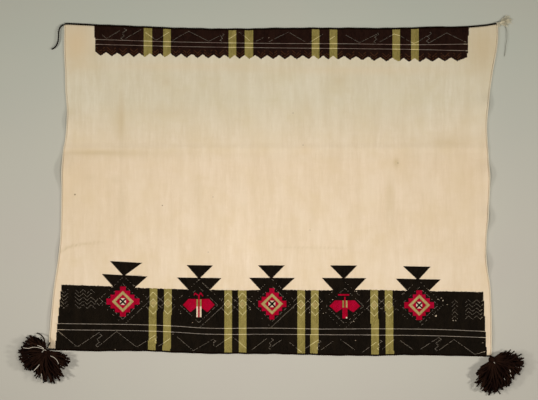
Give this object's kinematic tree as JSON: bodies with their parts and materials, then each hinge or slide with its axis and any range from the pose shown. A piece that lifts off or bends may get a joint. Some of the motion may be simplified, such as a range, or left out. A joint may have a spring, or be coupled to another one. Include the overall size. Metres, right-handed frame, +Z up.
{
  "type": "ceremonial manta",
  "caption": "Rectangular cotton blanket laid flat, with embroidered wool borders, edge cords, a dark wool tassel at each lower corner and free cord ends at the upper corners.",
  "frame": {"origin": "middle of the surface that the blanket lies on, under the box round the cloth, its edge cords, tassels and tuft", "axes": "+X to the right of the blanket along its width, +Y to its upper edge, +Z up off the surface"},
  "size_m": [1.6576, 1.2348, 0.0297],
  "materials": {
    "cotton_cloth": "handspun cotton plain weave, matt, cream",
    "cotton_cord": "plied cotton cord, matt, cream",
    "wool_cord": "plied wool cord, matt, dark brown",
    "wool_yarn": "loose bulky wool yarn, matt, dark brown",
    "embroidery_dark": "wool embroidery, matt, dark brown",
    "embroidery_green": "wool embroidery, matt, olive green",
    "embroidery_red": "wool embroidery, matt, crimson",
    "embroidery_tan": "wool embroidery, matt, tan",
    "embroidery_cream": "cotton left showing between stitches, matt, cream"
  },
  "bodies": {
    "root": {"cloth": "cotton_cloth", "top_edge_cord": "wool_cord", "bottom_edge_cord": "wool_cord", "left_edge_cord": "cotton_cord", "right_edge_cord": "cotton_cord", "tassel_left": "wool_yarn", "tassel_right": "wool_yarn", "tuft_top_right": "cotton_cord", "tie_top_left": "wool_cord", "thread_top_right": "cotton_cord"}
  },
  "joints": []
}
